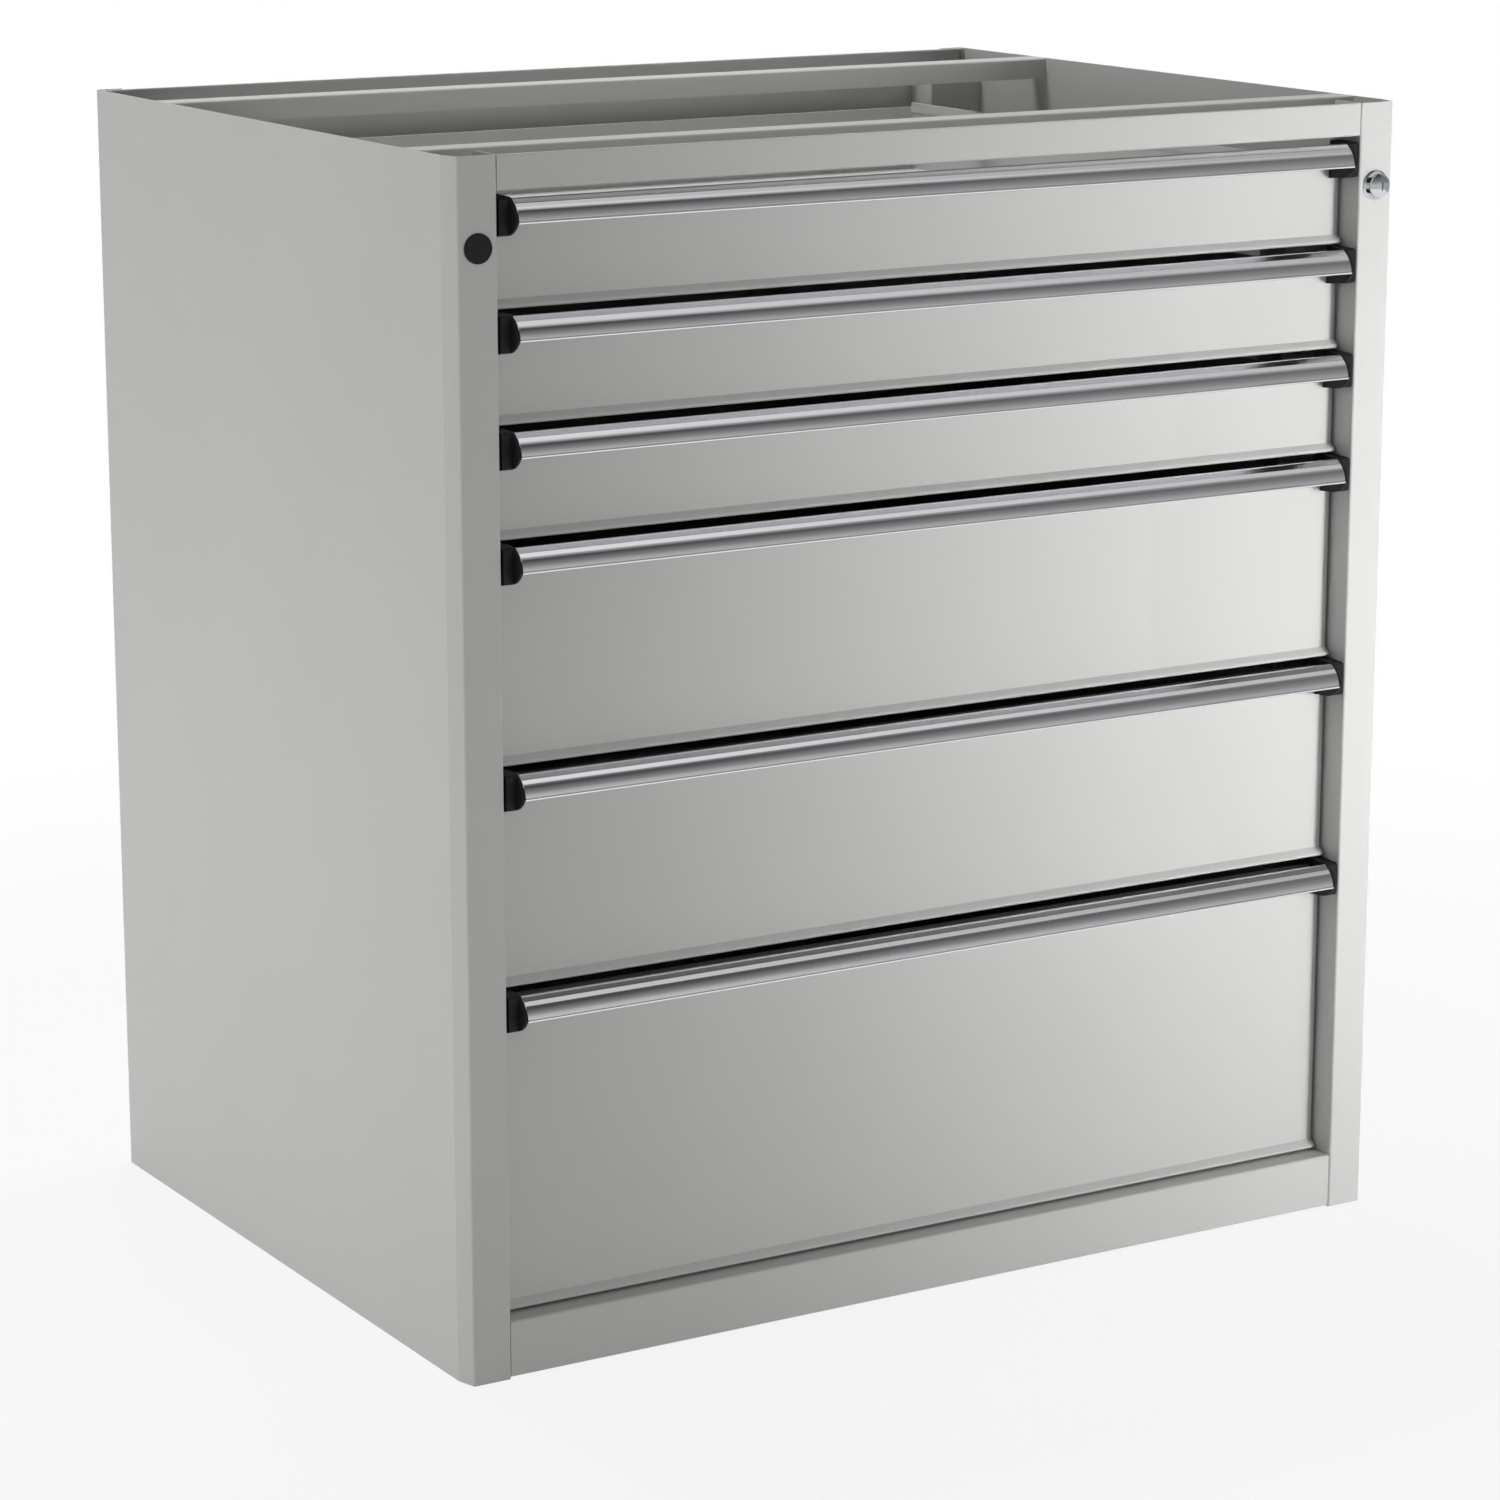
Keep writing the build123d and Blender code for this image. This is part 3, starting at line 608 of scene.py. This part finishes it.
@dataclass
class CentralLock:
    """The lock's turning core and the bar that it lifts."""

    palette: Palette

    def build(self) -> None:
        """Dresses the core and the bar."""
        dress_body("lock_core", self.palette)
        dress_body("lock_bar", self.palette)


@dataclass
class Drawer:
    """One drawer with its slides, whose inner rails are riveted to the tray."""

    number: int
    palette: Palette
    rivets_a_side: int = 5
    rivet_radius: float = 3.5 * MM
    rivet_height: float = 1.3 * MM
    rivet_margin: float = 40 * MM
    rail_sheet: float = 1.5 * MM
    facets: int = 20

    def rivet_tree(self, sizes: dict[str, Any]) -> bpy.types.NodeTree:
        """Builds the tree that sets domed rivets along both sides of a tray.

        Args:
            sizes: the tree's inputs.

        Returns:
            The tree.
        """
        tree, given = start_tree("rail_rivets", sizes)
        size = given.outputs
        ball = add_node(tree, "GeometryNodeMeshUVSphere",
                        {"Segments": self.facets, "Rings": self.facets // 2, "Radius": 1.0})
        span = add_node(tree, "ShaderNodeCombineXYZ",
                        {"X": size["Dome Height"], "Y": size["Dome Radius"], "Z": size["Dome Radius"]})
        dome = add_node(tree, "GeometryNodeTransform",
                        {"Geometry": ball.outputs["Mesh"], "Scale": span.outputs[0]})
        smooth = add_node(tree, "GeometryNodeSetShadeSmooth", {"Geometry": dome.outputs["Geometry"]})
        rows = []
        for side in ("Left", "Right"):
            line = add_node(tree, "GeometryNodeMeshLine",
                            {"Count": size["Count"], "Start Location": size[side + " First"],
                             "Offset": size[side + " Last"]}, mode="END_POINTS")
            row = add_node(tree, "GeometryNodeInstanceOnPoints",
                           {"Points": line.outputs["Mesh"], "Instance": smooth.outputs["Geometry"]})
            rows.append(row.outputs["Instances"])
        both = add_node(tree, "GeometryNodeJoinGeometry", {"Geometry": rows})
        end_tree(tree, both.outputs["Geometry"], self.palette[Slot.ZINC])
        return tree

    def add_rivets(self) -> None:
        """Rivets both inner rails along their middle line."""
        low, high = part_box(f"drawer_{self.number}_inner_rails")
        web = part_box(f"drawer_{self.number}_tray")[1].x + self.rail_sheet
        first, last = low.y + self.rivet_margin, high.y - self.rivet_margin
        middle = (low.z + high.z) / 2
        sizes = {
            "Count": self.rivets_a_side,
            "Dome Radius": self.rivet_radius, "Dome Height": self.rivet_height,
            "Left First": (-web, first, middle), "Left Last": (-web, last, middle),
            "Right First": (web, first, middle), "Right Last": (web, last, middle),
        }
        rivets = grow(f"drawer_{self.number}_rail_rivets", self.rivet_tree(sizes), sizes)
        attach(rivets, f"drawer_{self.number}")
        log.info("%s: %d rivets", rivets.name, 2 * self.rivets_a_side)

    def build(self) -> None:
        """Dresses the drawer and its slides, and adds the rivets."""
        dress_body(f"drawer_{self.number}", self.palette)
        dress_body(f"mid_slide_{self.number}", self.palette)
        self.add_rivets()


@dataclass(frozen=True)
class Softbox:
    """A rectangular studio lamp, seen neither by the camera nor in reflections."""

    name: str
    place: Triple
    target: Triple
    width: float
    height: float
    watts: float
    beam_deg: float = 180.0

    def hang(self) -> None:
        """Hangs the lamp and aims it."""
        lamp = bpy.data.lights.new(self.name, "AREA")
        lamp.shape = "RECTANGLE"
        lamp.size = self.width
        lamp.size_y = self.height
        lamp.energy = self.watts
        lamp.spread = math.radians(self.beam_deg)
        holder = bpy.data.objects.new(self.name, lamp)
        holder.location = self.place
        aim = Vector(self.target) - Vector(self.place)
        holder.rotation_euler = aim.to_track_quat("-Z", "Y").to_euler()
        holder.visible_camera = False
        holder.visible_glossy = False
        bpy.context.scene.collection.objects.link(holder)


@dataclass
class Studio:
    """A pale room with a bright panel in its ceiling, six softboxes and the camera."""

    camera_place: Triple = (-2.2733, -3.7911, 1.4838)
    heading_deg: float = 31.054
    pitch_deg: float = 13.19
    lens_mm: float = 110.35
    sensor_mm: float = 36.0
    floor_side: float = 6.0
    floor_colour: str = "#E6E6E6"
    floor_white_share: float = 0.86
    shadow_reach: float = 1.0
    shadow_fade: float = 2.2
    room_light: float = 0.25
    room_stops: tuple[tuple[float, float], ...] = (
        (1, 0.62), (8, 0.5), (20, 0.27), (44, 0.09), (54, 0.03), (60, 0.3),
        (66, 0.9), (73, 0.9), (79, 0.05), (120, 0.05), (155, 0.35), (175, 0.5),
    )
    haze_edge: tuple[float, float] = (0.47, 0.62)
    right_haze: float = 0.53
    haze_light: float = 0.3
    softboxes: tuple[Softbox, ...] = (
        Softbox("key_light", (1.3, -2.8, 0.6), (0.78, -0.37, 0.64), 0.4, 1.14, 6.2, 48.0),
        Softbox("front_light", (1.9, -4.3, 0.7), (0.0, -0.37, 0.5), 1.8, 1.4, 46.0),
        Softbox("left_light", (-3.0, 0.25, 0.55), (-0.5, 0.0, 0.5), 1.6, 1.2, 31.0),
        Softbox("top_light", (0.0, 0.55, 2.9), (0.0, 0.45, 1.05), 1.4, 0.5, 37.0),
        Softbox("back_light", (0.6, 3.3, 1.0), (0.0, 0.38, 0.5), 1.6, 1.2, 14.0),
        Softbox("right_light", (3.2, 0.4, 0.8), (0.5, 0.0, 0.5), 1.6, 1.2, 22.0),
    )

    def seen_directly(self, tree: bpy.types.NodeTree) -> bpy.types.NodeSocket:
        """Adds the test for rays that show the room itself.

        Args:
            tree: the world's or the floor's tree.

        Returns:
            One for camera, mirror and glass rays, and zero for light that is scattered.
        """
        path = add_node(tree, "ShaderNodeLightPath").outputs
        mirror = add_node(tree, "ShaderNodeMath",
                          {0: path["Is Camera Ray"], 1: path["Is Glossy Ray"]}, operation="MAXIMUM")
        glass = add_node(tree, "ShaderNodeMath",
                         {0: mirror.outputs[0], 1: path["Is Transmission Ray"]}, operation="MAXIMUM")
        return glass.outputs[0]

    def light_room(self) -> None:
        """Makes the room: pale low walls and a long bright panel in a dark ceiling.

        Each stop is an angle in degrees, from the front wall over the ceiling to the back wall, and the
        light there.
        """
        world = bpy.data.worlds.new("studio_room")
        world.use_nodes = True
        bpy.context.scene.world = world
        tree = world.node_tree
        tree.nodes.clear()
        way = add_node(tree, "ShaderNodeTexCoord").outputs["Generated"]
        axes = add_node(tree, "ShaderNodeSeparateXYZ", {"Vector": way}).outputs
        front = add_node(tree, "ShaderNodeMath", {0: axes["Y"], 1: -1.0}, operation="MULTIPLY")
        angle = add_node(tree, "ShaderNodeMath", {0: axes["Z"], 1: front.outputs[0]},
                         operation="ARCTAN2")
        half_turns = add_node(tree, "ShaderNodeMath", {0: angle.outputs[0], 1: math.pi},
                              operation="DIVIDE")
        clear = add_node(tree, "ShaderNodeValToRGB", {"Fac": half_turns.outputs[0]})
        stops = clear.color_ramp.elements
        for degrees, light in self.room_stops:
            stops.new(math.radians(degrees) / math.pi).color = (light, light, light, 1.0)
        stops.remove(stops[-1])
        stops.remove(stops[0])
        right = add_node(tree, "ShaderNodeMapRange",
                         {"Value": axes["X"], "From Min": self.haze_edge[0],
                          "From Max": self.haze_edge[1], "To Min": 0.0, "To Max": self.right_haze})
        hazy = add_node(tree, "ShaderNodeMix",
                        {0: right.outputs["Result"], 2: clear.outputs["Color"], 3: self.haze_light})
        camera = add_node(tree, "ShaderNodeLightPath").outputs["Is Camera Ray"]
        seen = add_node(tree, "ShaderNodeMath", {0: hazy.outputs[0], 1: camera}, operation="MAXIMUM")
        room = add_node(tree, "ShaderNodeBackground", {"Color": seen.outputs[0], "Strength": 1.0})
        fill = add_node(tree, "ShaderNodeBackground", {"Color": WHITE, "Strength": self.room_light})
        both = add_node(tree, "ShaderNodeMixShader",
                        {0: self.seen_directly(tree), 1: fill.outputs[0], 2: room.outputs[0]})
        add_node(tree, "ShaderNodeOutputWorld", {"Surface": both.outputs[0]})

    def lay_floor(self) -> None:
        """Lays a white floor that keeps the cabinet's shadow around its foot."""
        half = self.floor_side / 2
        mesh = bpy.data.meshes.new("studio_floor")
        mesh.from_pydata([(-half, -half, 0), (half, -half, 0), (half, half, 0), (-half, half, 0)], [],
                         [(0, 1, 2, 3)])
        floor = bpy.data.objects.new("studio_floor", mesh)
        bpy.context.scene.collection.objects.link(floor)
        material = bpy.data.materials.new("white_studio_floor")
        material.use_nodes = True
        tree = material.node_tree
        tree.nodes.clear()
        place = add_node(tree, "ShaderNodeTexCoord").outputs["Object"]
        away = add_node(tree, "ShaderNodeVectorMath", {0: place}, operation="LENGTH")
        white = add_node(tree, "ShaderNodeMapRange",
                         {"Value": away.outputs["Value"], "From Min": self.shadow_reach,
                          "From Max": self.shadow_fade, "To Min": self.floor_white_share, "To Max": 1.0},
                         interpolation_type="SMOOTHSTEP")
        share = add_node(tree, "ShaderNodeMath",
                         {0: white.outputs["Result"], 1: self.seen_directly(tree)}, operation="MULTIPLY")
        matt = add_node(tree, "ShaderNodeBsdfDiffuse", {"Color": srgb(self.floor_colour)})
        glow = add_node(tree, "ShaderNodeEmission", {"Strength": 1.0})
        both = add_node(tree, "ShaderNodeMixShader",
                        {0: share.outputs[0], 1: matt.outputs[0], 2: glow.outputs[0]})
        add_node(tree, "ShaderNodeOutputMaterial", {"Surface": both.outputs[0]})
        mesh.materials.append(material)

    def set_camera(self) -> None:
        """Sets the camera up at the left front corner, a little above the cabinet's top."""
        lens = bpy.data.cameras.new("studio_camera")
        lens.lens = self.lens_mm
        lens.sensor_width = self.sensor_mm
        camera = bpy.data.objects.new("studio_camera", lens)
        camera.location = self.camera_place
        camera.rotation_euler = (math.radians(90 - self.pitch_deg), 0.0, math.radians(-self.heading_deg))
        bpy.context.scene.collection.objects.link(camera)
        bpy.context.scene.camera = camera

    def build(self) -> None:
        """Sets up the room, the floor, the lamps and the camera."""
        bpy.context.scene.view_settings.view_transform = "Standard"
        self.light_room()
        self.lay_floor()
        for softbox in self.softboxes:
            softbox.hang()
        self.set_camera()


def clear_startup_scene() -> None:
    """Removes what Blender's new scene holds besides the cabinet."""
    kept = {*frame["nodes"].values(), *frame["bodies"].values()}
    for item in list(bpy.data.objects):
        if item not in kept:
            bpy.data.objects.remove(item)


def main() -> None:
    """Builds the cabinet's looks and its studio."""
    logging.basicConfig(level=logging.INFO, format="%(name)s: %(message)s")
    clear_startup_scene()
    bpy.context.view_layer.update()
    palette = {slot: finish.material() for slot, finish in FINISHES.items()}
    Housing(palette).build()
    CentralLock(palette).build()
    drawers = [body for body in frame["bodies"] if body.startswith("drawer_")]
    for number in range(1, len(drawers) + 1):
        Drawer(number, palette).build()
    Studio().build()


if __name__ == "__main__":
    main()
